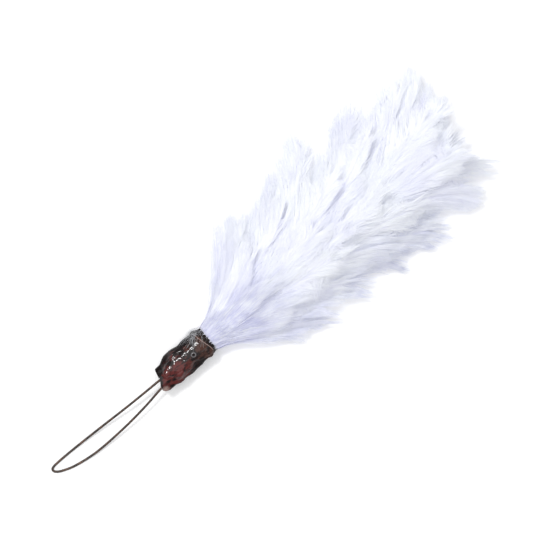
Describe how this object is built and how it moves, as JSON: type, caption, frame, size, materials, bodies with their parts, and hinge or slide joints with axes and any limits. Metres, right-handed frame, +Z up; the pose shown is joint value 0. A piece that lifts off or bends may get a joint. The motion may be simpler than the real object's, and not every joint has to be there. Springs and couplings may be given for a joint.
{
  "type": "feather hackle",
  "caption": "White feather hackle: a flat, bushy plume of overlapping cut feathers, bound with lacquered thread onto a long narrow wire loop, lying down.",
  "frame": {"origin": "middle of the flat spot under the binding, on the surface that the hackle lies on", "axes": "+X from the binding towards the tips of the feathers, +Y towards the fuller side of the plume, +Z up"},
  "size_m": [0.1727, 0.0561, 0.0225],
  "materials": {
    "wire": "dull browned iron wire",
    "lacquer": "glossy set lacquer over wound thread, dark red-brown",
    "feather": "soft matt white barbs with a cool cast in the depth"
  },
  "bodies": {
    "root": {"wire_loop": "wire", "binding": "lacquer", "feather_01": "feather", "feather_02": "feather", "feather_03": "feather", "feather_04": "feather", "feather_05": "feather", "feather_06": "feather", "feather_07": "feather", "feather_08": "feather", "feather_09": "feather", "feather_10": "feather", "feather_11": "feather", "feather_12": "feather", "feather_13": "feather", "feather_14": "feather", "feather_15": "feather", "feather_16": "feather", "feather_17": "feather", "feather_18": "feather", "feather_19": "feather", "feather_20": "feather", "feather_21": "feather", "feather_22": "feather", "feather_23": "feather", "feather_24": "feather", "feather_25": "feather", "feather_26": "feather", "feather_27": "feather", "feather_28": "feather", "feather_29": "feather", "feather_30": "feather", "feather_31": "feather", "feather_32": "feather", "feather_33": "feather", "feather_34": "feather", "feather_35": "feather", "feather_36": "feather", "feather_37": "feather", "feather_38": "feather", "feather_39": "feather", "feather_40": "feather", "feather_41": "feather", "feather_42": "feather", "feather_43": "feather", "feather_44": "feather", "feather_45": "feather", "feather_46": "feather", "feather_47": "feather", "feather_48": "feather", "feather_49": "feather", "feather_50": "feather", "feather_51": "feather", "feather_52": "feather", "feather_53": "feather", "feather_54": "feather", "feather_55": "feather", "feather_56": "feather"}
  },
  "joints": []
}
